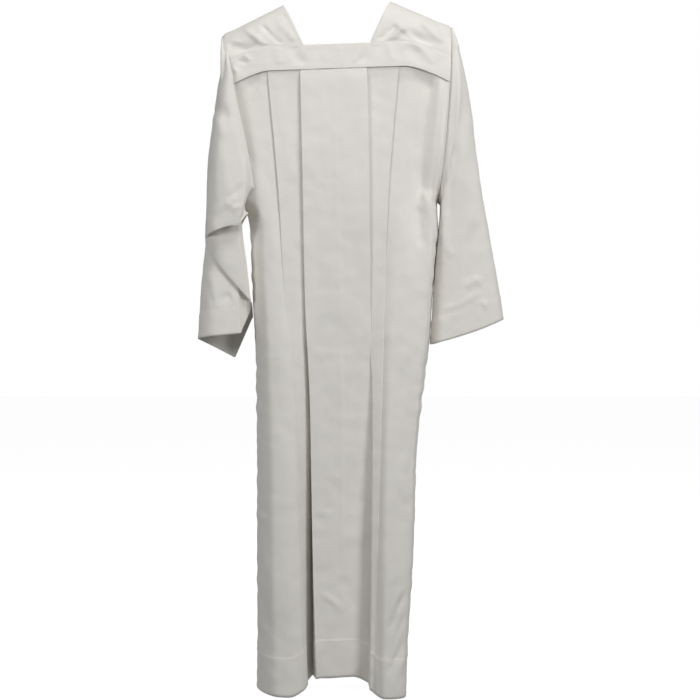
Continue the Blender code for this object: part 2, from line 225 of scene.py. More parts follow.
# Right sleeve: x, z and y of its outer edge, of the fold at its front, of its inner edge, of the
# heel behind that and of its back, in millimetres, then how square its front is. It folds over
# itself at the elbow.
RIGHT_SLEEVE = (
    # outer, fold, inner, heel, back, squareness
    ((-233, -35, 0), (-181, -296, -72), (-171, -361, -66), (-214, -386, -8), (-236, -200, 57), 7.0),
    ((-245, -116, 0), (-182, -347, -80), (-176, -369, -66), (-212, -394, -6), (-240, -263, 56), 7.0),
    ((-260, -210, 0), (-186, -388, -82), (-182, -381, -64), (-210, -402, -4), (-242, -317, 55), 7.0),
    ((-270, -314, 0), (-192, -416, -82), (-186, -397, -62), (-206, -412, -2), (-242, -370, 53), 6.5),
    ((-274, -428, 0), (-199, -439, -78), (-184, -407, -60), (-203, -424, 0), (-240, -424, 51), 6.0),
    ((-275, -457, 0), (-195, -431, -76), (-179, -411, -60), (-201, -432, 0), (-239, -450, 50), 6.0),
    ((-275, -460, 0), (-198, -415, -64), (-189, -406, -52), (-201, -440, 0), (-238, -458, 50), 5.6),
    ((-275, -463, 0), (-200, -413, -58), (-196, -409, -44), (-201, -448, 0), (-237, -466, 49), 5.3),
    ((-275, -465, 0), (-198, -455, -56), (-191, -459, -40), (-199, -460, 2), (-236, -476, 49), 5.0),
    ((-275, -470, 0), (-191, -510, -55), (-185, -512, -36), (-196, -510, 4), (-235, -490, 49), 5.0),
    ((-276, -474, 0), (-185, -578, -52), (-177, -586, -34), (-192, -556, 6), (-234, -505, 48), 5.0),
    ((-276, -478, 0), (-196, -541, -44), (-183, -577, -26), (-190, -570, 8), (-233, -520, 48), 5.0),
    ((-279, -505, 0), (-201, -570, -46), (-178, -589, -24), (-186, -586, 10), (-231, -552, 48), 5.0),
    ((-284, -563, 0), (-201, -590, -48), (-177, -591, -18), (-182, -597, 14), (-227, -604, 47), 5.0),
    ((-288, -621, 0), (-198, -623, -49), (-177, -594, -12), (-179, -609, 18), (-222, -656, 47), 5.0),
    ((-291, -664, 0), (-195, -654, -50), (-177, -597, -8), (-178, -621, 22), (-218, -704, 46), 5.0),
)

# ---------------------------------------------------------------- creases
# Each crease is a soft ridge, or a trough where its height is negative: the points that it
# runs through as (x, z), its half width and its height, all in millimetres.
FRONT_CREASES = (
    # the centre panel's pressed line
    (((-6, -125), (1, -364), (5, -568), (10, -789), (10, -1270)), 2.2, 1.7),
    # packing creases across the centre panel and the side
    (((-46, -1017), (-2, -1020)), 2.2, 2.0),
    (((20, -1020), (56, -1025)), 2.6, 2.2),
    (((-142, -706), (-98, -696)), 3, 1.6),
    (((-56, -350), (-20, -352), (34, -346)), 4, 0.9),
    (((-52, -700), (-10, -694), (46, -698)), 4, 0.9),
    # a soft wrinkle low on the centre panel
    (((-38, -1178), (-10, -1196), (14, -1219)), 6, 3.0),
    (((6, -1150), (26, -1180), (40, -1226)), 12, -1.8),
    # under the band, right side
    (((-156, -124), (-168, -140), (-186, -146)), 6, -4.0),
    (((-150, -118), (-160, -150), (-172, -176)), 5, 2.2),
    (((-122, -124), (-116, -190), (-108, -262)), 7, 1.8),
    (((-100, -140), (-88, -230), (-86, -330)), 8, -1.6),
    # the valley and the ridge that run down from the band's left end
    (((204, -112), (188, -171), (178, -242), (173, -323), (170, -396)), 11, -9.0),
    (((226, -70), (219, -120), (209, -181), (203, -262), (196, -343), (191, -384)), 6, 5.0),
    (((200, -366), (188, -388), (178, -380), (180, -362)), 5, 6.5),
    (((170, -392), (166, -430), (174, -480)), 9, -4.0),
    # the hollow beside the left armhole, and the pull towards it
    (((150, -190), (153, -260), (163, -350), (166, -440), (160, -540)), 15, -4.0),
    # drag lines under the right armhole
    (((-176, -384), (-154, -460), (-142, -560)), 12, -3.6),
    (((-156, -320), (-134, -420), (-124, -520)), 10, 2.4),
    (((-176, -300), (-168, -350), (-150, -392)), 6, 2.2),
    # folds at the right edge
    (((-164, -1004), (-138, -1020)), 5, -3.6),
    (((-164, -1024), (-140, -1036)), 4, 3.0),
    (((-162, -1088), (-146, -1110), (-138, -1150)), 6, 2.4),
    (((-160, -1180), (-144, -1216), (-140, -1256)), 7, -2.8),
    (((-162, -870), (-146, -890)), 5, 2.0),
    # diagonal creases low on the left lobe
    (((140, -1164), (124, -1204), (106, -1250)), 5, -3.6),
    (((130, -1160), (116, -1194), (98, -1236)), 5, 2.0),
    (((138, -1214), (126, -1246), (112, -1276)), 4, -2.4),
    (((134, -1272), (118, -1304), (100, -1340)), 4, -3.2),
    (((140, -1290), (128, -1322), (118, -1348)), 4, 2.2),
    (((148, -700), (136, -760), (132, -830)), 9, -2.8),
    (((142, -880), (132, -940), (136, -1000)), 8, 2.4),
)
BACK_CREASES = (
    (((0, -130), (-3, -400), (4, -800), (2, -1280)), 3, 0.9),
    (((-44, -1019), (44, -1021)), 3, 0.8),
    (((-190, -150), (-178, -240), (-172, -330)), 12, -4.5),
    (((196, -150), (182, -250), (176, -350)), 12, -4.0),
    (((-120, -640), (-84, -700), (-70, -790)), 14, 1.8),
    (((40, -900), (8, -960), (-24, -1000)), 10, 1.5),
    (((120, -1100), (136, -1190), (128, -1280)), 12, -2.2),
    (((-140, -1050), (-128, -1160), (-134, -1250)), 12, -2.4),
)


# ---------------------------------------------------------------- curves
def eased(x):
    """0 below 0, 1 above 1, and a smooth step between."""
    x = np.clip(x, 0.0, 1.0)
    return x * x * (3 - 2 * x)


def along(places, values, place):
    """Smooth curve through (places, values) that never overshoots, read at each place."""
    places = np.array(places, float)
    values = np.array(values, float)
    if places[0] > places[-1]:
        places, values = places[::-1], values[::-1]
    wide = (-1,) + (1,) * (values.ndim - 1)
    step = np.diff(places).reshape(wide)
    slope = np.diff(values, axis=0) / step
    both = slope[:-1] * slope[1:]
    total = np.where(both > 0, slope[:-1] + slope[1:], 1)
    tangent = np.concatenate([slope[:1], np.where(both > 0, 2 * both / total, 0), slope[-1:]])
    place = np.clip(np.atleast_1d(place), places[0], places[-1])
    i = np.clip(np.searchsorted(places, place) - 1, 0, len(places) - 2)
    t = ((place - places[i]) / (places[i + 1] - places[i])).reshape(wide)
    reach = step[i]
    return (
        values[i] * (1 + 2 * t) * (1 - t) ** 2
        + tangent[i] * reach * t * (1 - t) ** 2
        + values[i + 1] * t * t * (3 - 2 * t)
        - tangent[i + 1] * reach * t * t * (1 - t)
    )


def spread(count, close_start=True, close_end=True):
    """Shares from 0 to 1, closer together towards an end that meets a fold."""
    t = np.linspace(0, 1, count + 1)
    if close_start and close_end:
        return (1 - np.cos(math.pi * t)) / 2
    if close_end:
        return np.sin(math.pi / 2 * t)
    return 1 - np.cos(math.pi / 2 * t)


def softened(points, passes, ring=False):
    """The same columns with their corners rounded a little more at each pass."""
    for _ in range(passes):
        mean = (np.roll(points, 1, axis=1) + np.roll(points, -1, axis=1)) / 2
        rounded = (points + mean) / 2
        if not ring:
            rounded[:, 0] = points[:, 0]
            rounded[:, -1] = points[:, -1]
        points = rounded
    return points


def hang(points):
    """The slight slope of the whole top, which dies out towards the underarms."""
    fade = eased((points[..., 2] - TILT_ENDS_Z) / (BAND_BOTTOM_Z - TILT_ENDS_Z))
    hung = points.copy()
    hung[..., 2] += TILT * points[..., 0] * fade
    return hung


def armhole(z):
    """Half width and half depth of the armhole at a height."""
    middle = (SHOULDER_POINT_Z + UNDERARM_Z) / 2
    reach = (SHOULDER_POINT_Z - UNDERARM_Z) / 2
    s = np.minimum(np.abs((z - middle) / reach), 1.0)
    down = (SHOULDER_POINT_Z - z) / (2 * reach)
    half_width = SHOULDER_HALF_WIDTH - (SHOULDER_HALF_WIDTH - UNDERARM_HALF_WIDTH) * down**2
    return half_width, ARMHOLE_DEPTH * np.sqrt(1 - s**ARMHOLE_SQUARENESS)


BAND_END_X = float(armhole(BAND_BOTTOM_Z - BAND_DROOP)[0])


def band_bottom(x):
    """Height of the band's lower edge, whose ends droop."""
    out = np.maximum(np.abs(x) - BAND_DROOP_START, 0) / (BAND_END_X - BAND_DROOP_START)
    return BAND_BOTTOM_Z - BAND_DROOP * out**BAND_DROOP_POWER


def band_point(share, up):
    """A point of the band: share runs from its middle, 0, to the armhole, 1 or -1, and up
    from its lower edge, 0, to its upper edge, 1."""
    x = BAND_END_X * share
    z = band_bottom(x) + BAND_HEIGHT * up
    end_x, end_depth = armhole(band_bottom(BAND_END_X) + BAND_HEIGHT * up)
    middle = 1 - np.abs(share) ** BAND_TURN_POWER
    depth = end_depth + (BAND_DEPTH - BAND_LEAN * up - end_depth) * middle
    return np.stack(np.broadcast_arrays(x * end_x / BAND_END_X, -depth, z + SEAM_GAP), axis=-1)


# ---------------------------------------------------------------- creases and shells
CREASE_ENDS = 0.2          # share of a crease over which each end dies out
CREASE_UNEVENNESS = 0.2    # share of its height that comes and goes along it


def crease_field(x, z, creases):
    """Total height of all the creases at each (x, z)."""
    total = np.zeros(np.shape(x))
    for path, half_width, height in creases:
        path = np.array(path) / 1000
        lengths = np.linalg.norm(np.diff(path, axis=0), axis=1)
        starts = np.concatenate([[0], np.cumsum(lengths)])
        nearest = np.full(np.shape(x), np.inf)
        travelled = np.zeros(np.shape(x))
        for start, end, length, before in zip(path[:-1], path[1:], lengths, starts):
            run = (end - start) / length
            t = (x - start[0]) * run[0] + (z - start[1]) * run[1]
            t = np.clip(t, 0, length)
            gap = np.hypot(x - start[0] - t * run[0], z - start[1] - t * run[1])
            closer = gap < nearest
            nearest = np.where(closer, gap, nearest)
            travelled = np.where(closer, before + t, travelled)
        share = travelled / starts[-1]
        fade = eased(share / CREASE_ENDS) * eased((1 - share) / CREASE_ENDS)
        swell = 1 - CREASE_UNEVENNESS + CREASE_UNEVENNESS * np.sin(7 * share + 40 * path[0, 0])
        total += height / 1000 * fade * swell * np.exp(-((nearest / (half_width / 1000)) ** 2))
    return total


def rumple(points, size, seed):
    """Soft uneven waves, between about -1 and 1."""
    flat = points.reshape(-1, 3) / size + seed
    return np.array([noise.noise(Vector(p)) for p in flat]).reshape(points.shape[:-1])


def waves(points, rows, seed):
    """Waves of several sizes together. A row is their height, their size, how much shorter than
    that they are down the cloth (less than 1 is longer), and what is added to the seed."""
    total = np.zeros(points.shape[:-1])
    for height, size, squeeze, step in rows:
        total += height * rumple(points * (1, 1, squeeze), size, seed + step)
    return total


def surface_normals(points, ring=False):
    """The way each point of a grid faces, with its rows running down and its columns across."""
    down = np.gradient(points, axis=0)
    if ring:
        across = np.roll(points, -1, axis=1) - np.roll(points, 1, axis=1)
    else:
        across = np.gradient(points, axis=1)
    normals = np.cross(down, across)
    return normals / np.maximum(np.linalg.norm(normals, axis=2), 1e-12)[:, :, None]


def run_up(points):
    """How far each point is, along its column, from the last row."""
    steps = np.linalg.norm(np.diff(points, axis=0), axis=2)
    return np.vstack([np.cumsum(steps[::-1], axis=0)[::-1], np.zeros((1, points.shape[1]))])


def shell(name, points, material, ring=False, thickness=CLOTH):
    """A closed cloth wall around a grid of points."""
    rows, columns = points.shape[:2]
    offset = surface_normals(points, ring) * thickness / 2
    count = rows * columns
    vertices = np.concatenate([(points + offset).reshape(-1, 3), (points - offset).reshape(-1, 3)])
    index = np.arange(count).reshape(rows, columns)
    if ring:
        index = np.hstack([index, index[:, :1]])
    a, b, c, d = index[:-1, :-1], index[:-1, 1:], index[1:, 1:], index[1:, :-1]
    outer = np.stack([a, d, c, b], axis=-1).reshape(-1, 4)
    faces = [outer, outer[:, ::-1] + count]
    for edge, flip in ((index[0], False), (index[-1], True)):
        strip = np.stack([edge[:-1], edge[1:], edge[1:] + count, edge[:-1] + count], axis=-1)
        faces.append(strip[:, ::-1] if flip else strip)
    if not ring:
        for edge, flip in ((index[:, 0], True), (index[:, -1], False)):
            strip = np.stack([edge[:-1], edge[1:], edge[1:] + count, edge[:-1] + count], axis=-1)
            faces.append(strip[:, ::-1] if flip else strip)
    return mesh_object(name, vertices, np.concatenate(faces), material)


def mesh_object(name, vertices, faces, material):
    data = bpy.data.meshes.new(name)
    data.from_pydata(vertices.tolist(), [], list(faces))
    data.shade_smooth()
    data.materials.append(material)
    obj = bpy.data.objects.new(name, data)
    bpy.context.scene.collection.objects.link(obj)
    return obj


# ---------------------------------------------------------------- panels
def pleat_points(rows, z, opens_left):
    """The four corners of a lapped fold at each height, from right to left."""
    x, y, lap, drop = along(LEVELS_Z, np.array(rows) / 1000, z).T
    side = 1 if opens_left else -1
    lapped = lap >= 0
    turns = (
        (0 * lap, 0 * drop),
        (np.where(lapped, 0, lap / 3), drop / 3),
        (np.where(lapped, lap, lap * 2 / 3), drop * 2 / 3),
        (lap, drop),
    )
    points = [np.stack([x + side * dx, y + dy], axis=-1) for dx, dy in turns]
    return points[::-1] if opens_left else points


def from_band(z):
    """1 at the band, 0 at the underarm."""
    return eased((z - UNDERARM_Z) / (LEVELS_Z[0] - UNDERARM_Z))


def side_edge(z, side):
    """The panel's outer edge: on the armhole above the underarm, on the side seam below."""
    half_width, depth = armhole(z - BAND_DROOP * from_band(z))
    heights, right_x, left_x = zip(*SIDE_SEAMS)
    seam = along(heights, left_x if side > 0 else right_x, z)
    on_armhole = z > UNDERARM_Z
    x = np.where(on_armhole, side * half_width, seam)
    y = np.where(on_armhole, -np.maximum(depth, SEAM_GAP / 2), -SEAM_GAP / 2)
    return np.stack([x, y], axis=-1)


FIRST_PLACE = 0.02         # of a fold that bellies out past its side seam
SEAM_SEED = 6.0            # front and back share it, so that their side seams meet
PANEL_ROWS = 200
HEM_ROWS = (-0.0036, -0.0012, 0.0012, 0.0036)  # closer rows, on both sides of the hem's step
HEM_ROW_GAP = 0.0015
SIDE_STEPS = 34
FOLD_STEPS = (2, 6, 2)
STRIP_STEPS = 14
CENTRE_STEPS = 40
NEAR_BAND = 0.030          # below the band, the panel lies flat against it over this height
UNDER_BAND = 0.0009        # and this far behind it
UNDER_PLEATS = 0.2         # share of its own depth that a pleat keeps there
SEWN_TOP = 0.002           # above the panel's top, where its creases have died out
# Beside a side edge, the margin where creases die out, the one where the cloth leaves the band,
# and the one that its seam's ripple moves.
CREASE_MARGIN = 0.014
BAND_MARGIN = 0.020
RIPPLE_MARGIN = 0.030
RIPPLE_START = 0.050       # the side seam's ripple grows over this height under the armhole
HEM_EDGE = 0.002           # height over which the hem's step rises
PANEL_WAVES = ((0.0028, 0.060, 0.5, 0), (0.0011, 0.024, 1, 9))
GATHERS = ((0.0011, 0.0075, 0.12, 17),)
SEAM_WAVES = ((0.0022, 0.021, 1, 0),)
# How sharply a strip turns back into its pleat, at each level: 1 is straight.
RIGHT_STRIP_TURN = (1.0, 1.3, 2.0, 2.1, 1.3, 0.35)
CENTRE_TURN = (1.0, 1.3, 1.8, 2.1, 2.1, 1.8)


def side_section(folds, z, edge, pleat):
    """Soft folds from the side edge to the outer pleat, at each height."""
    shares = spread(SIDE_STEPS)
    below = eased((UNDERARM_Z - z) / UNDERARM_BLEND + 0.5)
    columns = []
    for k, height in enumerate(z):
        places = [0.0]
        across = [0.0]
        depths = [edge[k, 1]]
        for share_above, share_below, levels in folds:
            share = share_above + (share_below - share_above) * below[k]
            y = along(LEVELS_Z, levels, height)[0] / 1000
            if height > UNDERARM_Z - UNDERARM_HELD:
                own = HELD_SHARE + HELD_GAIN * share + (1 - HELD_SHARE) * below[k]
                y = edge[k, 1] + (y - edge[k, 1]) * min(1, own)
            places.append(max(share, FIRST_PLACE))
            across.append(share)
            depths.append(y)
        y = along([*places, 1.0], [*depths, pleat[k, 1]], shares)
        x = edge[k, 0] + (pleat[k, 0] - edge[k, 0]) * along([*places, 1.0], [*across, 1.0], shares)
        columns.append(np.stack([x, y], axis=-1))
    return np.array(columns)


def joined(corners, steps):
    """Straight runs between corners, which are pairs of (row, xy), without the first corner."""
    runs = []
    for start, end, count in zip(corners[:-1], corners[1:], steps):
        shares = spread(count)[1:, None]
        runs.append(start[:, None] + (end - start)[:, None] * shares)
    return np.concatenate(runs, axis=1)


def curved_strip(grid, deep, shallow, turn, z):
    """The strip from a deep column to a shallow one, which turns back nearest the deep one."""
    columns = np.arange(deep, shallow, 1 if shallow > deep else -1)
    start = grid[:, [shallow]]
    whole = grid[:, [deep]] - start
    share = (grid[:, columns, 0] - start[:, :, 0]) / whole[:, :, 0]
    power = along(LEVELS_Z, turn, z)[:, None]
    grid[:, columns, 1] = start[:, :, 1] + whole[:, :, 1] * np.clip(share, 0, 1) ** power


def panel_grid(pleats, right_folds, left_folds, z):
    """x and y of every column of a panel, at each height."""
    right_outer = pleat_points(pleats["right outer"], z, opens_left=True)
    right_inner = pleat_points(pleats["right inner"], z, opens_left=True)
    left_inner = pleat_points(pleats["left inner"], z, opens_left=False)
    left_outer = pleat_points(pleats["left outer"], z, opens_left=False)
    right = side_section(right_folds, z, side_edge(z, -1), right_outer[0])
    left = side_section(left_folds, z, side_edge(z, 1), left_outer[-1])[:, ::-1]
    corners = [*right_outer, *right_inner, *left_inner, *left_outer]
    steps = (
        *FOLD_STEPS, STRIP_STEPS, *FOLD_STEPS, CENTRE_STEPS,
        *FOLD_STEPS, STRIP_STEPS, *FOLD_STEPS,
    )
    grid = np.concatenate([right, joined(corners, steps), left[:, 1:]], axis=1)
    right_strip = SIDE_STEPS + sum(FOLD_STEPS)
    curved_strip(grid, right_strip + STRIP_STEPS, right_strip, RIGHT_STRIP_TURN, z)
    centre = right_strip + STRIP_STEPS + sum(FOLD_STEPS)
    curved_strip(grid, centre + CENTRE_STEPS, centre, CENTRE_TURN, z)
    return softened(grid, 1)


def panel_rows():
    """Heights of the rows, closer together at the hem's stitching."""
    heights = np.linspace(LEVELS_Z[0], LEVELS_Z[-1], PANEL_ROWS)
    stitched = LEVELS_Z[-1] + HEM_DEPTH
    heights = heights[np.abs(heights - stitched) > HEM_ROWS[-1] + HEM_ROW_GAP]
    return np.sort(np.concatenate([heights, stitched + np.array(HEM_ROWS)]))[::-1]


def panel_heights(x, z):
    """Height of every point: the top follows the band's lower edge, and the hem hangs in two
    lobes with a higher middle."""
    drop = band_bottom(x * BAND_END_X / x[:, -1:]) - BAND_BOTTOM_Z
    to_hem = eased((LEVELS_Z[3] - z) / (LEVELS_Z[3] - LEVELS_Z[5]))[:, None]
    out = (np.abs(x) - HEM_MIDDLE_X) / (HEM_LOBE_X - HEM_MIDDLE_X)
    return z[:, None] + drop * from_band(z)[:, None] - HEM_SAG * to_hem * eased(out)


def panel(name, pleats, right_folds, left_folds, facing, creases, seed, material):
    """A pleated panel; facing is 1 for the front, and -1 for the back."""
    z = panel_rows()
    grid = panel_grid(pleats, right_folds, left_folds, z)
    x = grid[:, :, 0]
    y = grid[:, :, 1]
    height = panel_heights(x, z)
    from_edge = np.minimum(x - x[:, :1], x[:, -1:] - x)
    # against the band
    near_band = eased((z - LEVELS_Z[0] + NEAR_BAND) / NEAR_BAND)[:, None]
    under_band = band_point(x / BAND_END_X, 0.0)[:, :, 1] + UNDER_BAND
    under_band += UNDER_PLEATS * (y + BAND_DEPTH)
    y = y + (under_band - y) * near_band * eased(from_edge / BAND_MARGIN)
    # creases and gathers
    places = np.stack([x, 0 * x, height], axis=-1)
    out = crease_field(x, height, creases) + waves(places, PANEL_WAVES, seed)
    out *= eased(from_edge / CREASE_MARGIN)
    out *= eased((LEVELS_Z[0] + SEWN_TOP - z) / NEAR_BAND)[:, None]
    gathers = waves(places, GATHERS, seed) * near_band**2 * eased(from_edge / BAND_MARGIN)
    y = y - out - gathers
    # ripple of the side seams
    ripple = waves(np.stack([0 * z, 0 * z, z], axis=-1), SEAM_WAVES, SEAM_SEED)
    ripple *= eased((UNDERARM_Z - z) / RIPPLE_START)
    x = x + ripple[:, None] * (1 - eased(from_edge / RIPPLE_MARGIN)) * np.sign(x)
    points = hang(np.stack([x, y * facing, height], axis=-1))
    # the doubled cloth of the hem
    hem = eased((HEM_DEPTH - run_up(points)) / HEM_EDGE + 0.5)
    outward = surface_normals(points) * facing
    points = points + outward * (HEM_STEP * hem)[:, :, None]
    if facing < 0:
        points = points[:, ::-1]
    return shell(name, points, material), points


# ---------------------------------------------------------------- bands and shoulders
BAND_STEPS = 90            # from its middle to one end
BAND_ROWS = 26
BAND_LIP = (-0.07, -0.05)  # rows below its lower edge, which hangs over the panel's top
BAND_CLOTH = 1.2 * CLOTH
BAND_PROUD = 0.0004        # how far it stands out from the frame's band
BAND_WAVES = ((0.0014, 0.026, 1, 0),)
BAND_SEED = 21.0
BAND_PUCKERS = ((0.0009, 0.008, 0.3, 0),)
PUCKER_SEED = 27.0
PUCKERED = 0.4             # share of its height, from the lower edge
SHOULDER_STEPS = 60        # from the neck to the armhole
CLIMB_STEPS = 46           # from the band to the top of the shoulder
SHOULDER_CLOTH = 1.4 * CLOTH
SHOULDER_FULLNESS = 2.2    # how full it is from front to back
SHOULDER_ROUND = 1.05      # how much it rounds over its top
SHOULDER_WAVES = ((0.0018, 0.034, 1, 0), (0.0008, 0.014, 1, 2))
SHOULDER_SEED = 31.0
# Each row is one crease, as on the panels.
BAND_CREASES = (
    (((-92, -66), (-80, -90), (-62, -112)), 11, -3.4),
    (((64, -62), (48, -86), (30, -112)), 4, 2.8),
    (((76, -64), (62, -90), (46, -114)), 8, -2.8),
    (((138, -72), (160, -96), (176, -118)), 12, -3.4),
    (((154, -66), (182, -92), (198, -118)), 7, 2.6),
    (((-204, -92), (-178, -100)), 5, -3.0),
    (((-194, -78), (-172, -96)), 4, 2.6),
    (((-216, -104), (-196, -120)), 5, 2.4),
    (((-124, -66), (-112, -110)), 9, 2.0),
    (((104, -64), (114, -112)), 7, 2.0),
    (((-40, -70), (-30, -112)), 8, -1.4),
    (((6, -70), (0, -112)), 6, 1.2),
)
SHOULDER_CREASES = {
    "right_shoulder": (
        (((-196, -20), (-168, -44), (-132, -76)), 6, 5.2),
        (((-224, -60), (-197, -68), (-162, -78)), 12, -7.5),
        (((-158, -18), (-134, -42), (-108, -68)), 5, -4.8),
        (((-128, -2), (-104, -32), (-82, -62)), 8, 3.2),
        (((-222, -44), (-208, -52), (-190, -56)), 5, 3.0),
        (((-112, 8), (-94, -24), (-80, -52)), 5, -2.4),
    ),
    "left_shoulder": (
        (((128, -42), (164, -60), (204, -74)), 10, -6.8),
        (((80, -70), (103, -48), (130, -30)), 8, -5.2),
        (((98, -74), (126, -44), (150, -30)), 6, 3.8),
        (((112, -22), (142, -48), (172, -74)), 6, 4.2),
        (((168, -22), (196, -50), (218, -70)), 6, 4.2),
        (((204, -28), (216, -44), (224, -62)), 5, -3.4),
    ),
}


def band(name, facing, material):
    """A band; facing is 1 for the front, and -1 for the back."""
    half = spread(BAND_STEPS, close_start=False)
    shares = np.concatenate([-half[:0:-1], half])
    ups = np.concatenate([BAND_LIP, np.linspace(-0.02, 1, BAND_ROWS)])
    points = band_point(shares[None, :], ups[:, None])
    out = crease_field(points[:, :, 0], points[:, :, 2], BAND_CREASES)
    out += waves(points, BAND_WAVES, BAND_SEED * facing)
    out *= eased(ups / 0.3)[:, None]
    puckers = np.abs(waves(points, BAND_PUCKERS, PUCKER_SEED))
    out += puckers * eased((PUCKERED - ups) / PUCKERED)[:, None]
    fade = eased((1 - np.abs(shares)) / 0.06)[None, :] * eased((1 - ups) / 0.1)[:, None]
    points[:, :, 1] -= out * fade + BAND_PROUD
    points[:, :, 1] *= facing
    points = hang(points)[::-1]
    if facing < 0:
        points = points[:, ::-1]
    return shell(name, points, material, thickness=BAND_CLOTH), points


def shoulder(name, side, material):
    """The piece over one shoulder, from the front band to the back band, in one."""
    corner = CORNER_HALF_WIDTH / BAND_END_X
    shares = np.linspace(0, 1, SHOULDER_STEPS)
    climbs = spread(CLIMB_STEPS)
    foot = band_point(corner + (1 - corner) * shares, 1.0)[:, None]
    top_x = (NECK_HALF_WIDTH + (SHOULDER_HALF_WIDTH - NECK_HALF_WIDTH) * shares)[:, None]
    top_z = (NECK_POINT_Z + (SHOULDER_POINT_Z - NECK_POINT_Z) * shares)[:, None]
    x = foot[..., 0] + (top_x - foot[..., 0]) * climbs
    y = foot[..., 1] * np.sqrt(1 - climbs**SHOULDER_FULLNESS)
    z = foot[..., 2] + SEAM_GAP + (top_z - foot[..., 2]) * (1 - (1 - climbs) ** SHOULDER_ROUND)
    # the end follows the armhole, over a strip that widens upwards
    end_x, end_depth = armhole(z[-1])
    reach = 0.02 + 0.18 * eased(climbs / 0.4)
    near_end = eased((shares[:, None] - 1 + reach) / reach)
    x += (end_x - x) * near_end
    y += (-end_depth - y) * near_end
    front = np.stack([x, y, z], axis=-1)
    places = front * (side, 1, 1)
    out = crease_field(places[..., 0], places[..., 2], SHOULDER_CREASES[name])
    out += waves(places, SHOULDER_WAVES, SHOULDER_SEED)
    held = eased(shares / 0.1) * eased((1 - shares) / 0.12)
    front[..., 1] -= out * held[:, None] * eased(climbs / 0.12) * eased((1 - climbs) / 0.3)
    behind = np.stack([x, -y, z], axis=-1)
    points = np.concatenate([front, behind[:, -2::-1]], axis=1) * (side, 1, 1)
    points = hang(points)
    if side < 0:
        points = points[::-1]
    return shell(name, points, material, thickness=SHOULDER_CLOTH), points


# ---------------------------------------------------------------- sleeves
LIFT = 0.005               # how far a sleeve stands out just below its seam
SLEEVE_FULLNESS = 0.4      # less is squarer
SLEEVE_FRONT_CORNER = 2.5  # how sharply the left sleeve's front comes to its middle
RINGS_PER_ROW = 9          # on the right sleeve
LEFT_COLUMNS = 140
LEFT_TOP_RINGS = 14
LEFT_RINGS = 120
OPENING_RINGS = 12         # from the right armhole's seam to the first row
OPENING_PLACES = (0, 0.2, 0.75, 1)
# Columns across the front, on to the inner edge, to the heel, to the back, and to the start.
RIGHT_COLUMNS = (52, 14, 12, 26, 26)
BELOW_SEAM = 0.030         # a sleeve's creases grow over this length from its seam
CUFF_EDGE = 0.003          # length over which the cuff hem's step rises
BACK_CREASES_SHIFT = (0.010, -0.030)  # the back's creases lie further out and lower,
BACK_CREASES_SHARE = 0.8              # and are softer
SLEEVE_WAVES = ((0.0016, 0.05, 0.5, 0), (0.0006, 0.02, 1, 5))


def armhole_ring(side, angles):
    """A sleeve's seam, a little outside the armhole."""
    middle = (SHOULDER_POINT_Z + UNDERARM_Z) / 2
    reach = (SHOULDER_POINT_Z - UNDERARM_Z) / 2
    z = middle + reach * np.cos(angles)
    half_width, depth = armhole(z)
    gap = 2 * SEAM_GAP + CLOTH * np.maximum(0, -np.cos(angles)) ** 3
    return np.stack([side * (half_width + gap), -np.copysign(depth, np.sin(angles)), z], axis=-1)


def lifted(ring, side, angles):
    """The ring just below the seam, which stands out, forward and down."""
    low = np.maximum(0, -np.cos(angles))
    forward = np.maximum(0, np.sin(angles)) ** 0.5
    out = LIFT * (0.5 + 0.5 * low)
    return ring + np.stack([side * out, -LIFT * forward, -LIFT * low], axis=-1)


def cornered_ring(corners, angles):
    """A smooth closed ring through its outer, front, inner and back corners."""
    outer, front, inner, back = corners
    middle = (outer + inner) / 2
    half = (outer - inner) / 2
    bulge = np.where((np.sin(angles) > 0)[:, None], front - middle, back - middle)
    out = np.abs(np.sin(angles))
    full = out**SLEEVE_FULLNESS
    x_share = np.where(np.sin(angles) > 0, out**SLEEVE_FRONT_CORNER, full)
    fullness = np.stack([x_share, full, out], axis=-1)
    return middle + half * np.cos(angles)[:, None] + bulge * fullness


def left_sleeve_grid():
    angles = np.linspace(0, 2 * math.pi, LEFT_COLUMNS, endpoint=False)
    first = armhole_ring(1, angles)
    second = lifted(first, 1, angles)
    table = np.array(LEFT_SLEEVE)[:, :, (0, 2, 1)] / 1000
    rows = [first, second] + [cornered_ring(corners, angles) for corners in table]
    places = np.array([0, 0.15, *range(1, len(table) + 1)])
    below = np.linspace(1, len(table), LEFT_RINGS)[1:]
    steps = np.concatenate([np.linspace(0, 1, LEFT_TOP_RINGS), below])
    return along(places, np.array(rows), steps)


def folded_ring(row):
    """A ring of the right sleeve: across the front to its fold, on to the inner edge, and
    round the back by way of the heel."""
    outer, fold, inner, heel, back = row[:15].reshape(5, 3)[:, (0, 2, 1)]
    squareness = row[15]
    s = spread(RIGHT_COLUMNS[0], close_start=False)[:-1, None]
    front = outer + (fold - outer) * s
    front[:, 1] = fold[1] * (1 - (1 - s[:, 0]) ** squareness)
    runs = [front]
    for start, end, count in zip((fold, inner, heel), (inner, heel, back), RIGHT_COLUMNS[1:]):
        runs.append(start + (end - start) * spread(count)[:-1, None])
    s = np.linspace(0, 1, RIGHT_COLUMNS[4] + 1)[:-1, None]
    last = back + (outer - back) * s
    last[:, 1] = back[1] * (1 - s[:, 0] ** 2.5)
    runs.append(last)
    return np.concatenate(runs)


